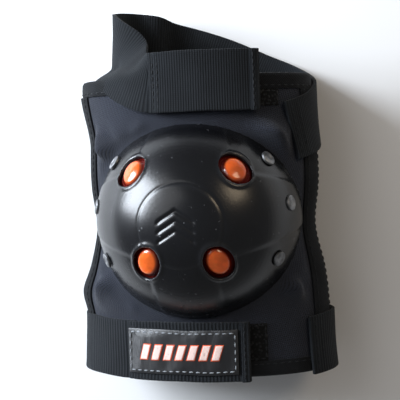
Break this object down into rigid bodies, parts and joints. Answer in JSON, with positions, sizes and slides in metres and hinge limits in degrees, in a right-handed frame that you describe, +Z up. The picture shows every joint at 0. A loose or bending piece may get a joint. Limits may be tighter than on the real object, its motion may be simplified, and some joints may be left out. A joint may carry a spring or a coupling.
{
  "type": "elbow pad",
  "caption": "Elbow pad: a fabric sleeve with a foam cup under a riveted domed cap with gel inserts, closed by elastic straps with hook tabs.",
  "frame": {"origin": "on the floor, under the middle of the pad's overall length and width; the pad lies on its back with the hard cap up", "axes": "+Z up, out of the hard cap; +Y along the arm, towards the upper arm; X across the arm, with the straps' sewn ends on the +X side"},
  "size_m": [0.133, 0.1746, 0.0925],
  "materials": {
    "hard_shell": "satin moulded black, lightly scuffed",
    "gel": "glossy translucent orange",
    "rivet_metal": "dull grey",
    "woven_panel": "black open weave with a faint blue cast",
    "foam": "closed cell foam",
    "lining_cloth": "brushed knit",
    "stretch_mesh": "fine stretch mesh",
    "binding_tape": "folded woven tape",
    "loop_tape": "fuzzy loop pile",
    "hook_tape": "stiff hook pile",
    "elastic_web": "ribbed elastic webbing",
    "label_cloth": "smooth woven label with a stitched border",
    "label_print": "pale print with a red edge"
  },
  "bodies": {
    "pad": {"shell_cap": "hard_shell", "gel_insert_upper_left": "gel", "gel_insert_upper_right": "gel", "gel_insert_lower_left": "gel", "gel_insert_lower_right": "gel", "shell_rivets": "rivet_metal", "rivet_washers": "rivet_metal", "front_panel": "woven_panel", "foam_cup": "foam", "lining": "lining_cloth", "back_panel": "stretch_mesh", "left_side_binding": "binding_tape", "right_side_binding": "binding_tape", "upper_hem": "binding_tape", "lower_hem": "binding_tape", "upper_loop_patch": "loop_tape", "lower_loop_patch": "loop_tape", "upper_strap_back": "elastic_web", "lower_strap_back": "elastic_web"},
    "upper_strap": {"upper_strap_front": "elastic_web"},
    "upper_hook_tab": {"upper_tab": "elastic_web", "upper_tab_hooks": "hook_tape", "upper_tab_pull": "elastic_web"},
    "lower_strap": {"lower_strap_front": "elastic_web"},
    "lower_hook_tab": {"lower_tab": "elastic_web", "lower_tab_hooks": "hook_tape", "lower_tab_pull": "elastic_web", "label_patch": "label_cloth", "label_stripes": "label_print"}
  },
  "joints": [
    {"name": "upper_strap_swing", "type": "hinge", "parent": "pad", "child": "upper_strap", "pos_m": [-0.05886, 0.07206, 0.03], "axis": [0, -1, 0], "range_deg": [0, 65]},
    {"name": "upper_tab_peel", "type": "hinge", "parent": "upper_strap", "child": "upper_hook_tab", "pos_m": [-0.019, 0.05829, 0.06447], "axis": [0, -1, 0], "range_deg": [0, 120]},
    {"name": "lower_strap_swing", "type": "hinge", "parent": "pad", "child": "lower_strap", "pos_m": [-0.06665, -0.07276, 0.03], "axis": [0, -1, 0], "range_deg": [0, 65]},
    {"name": "lower_tab_peel", "type": "hinge", "parent": "lower_strap", "child": "lower_hook_tab", "pos_m": [-0.035, -0.07276, 0.06087], "axis": [0, -1, 0], "range_deg": [0, 120]}
  ]
}
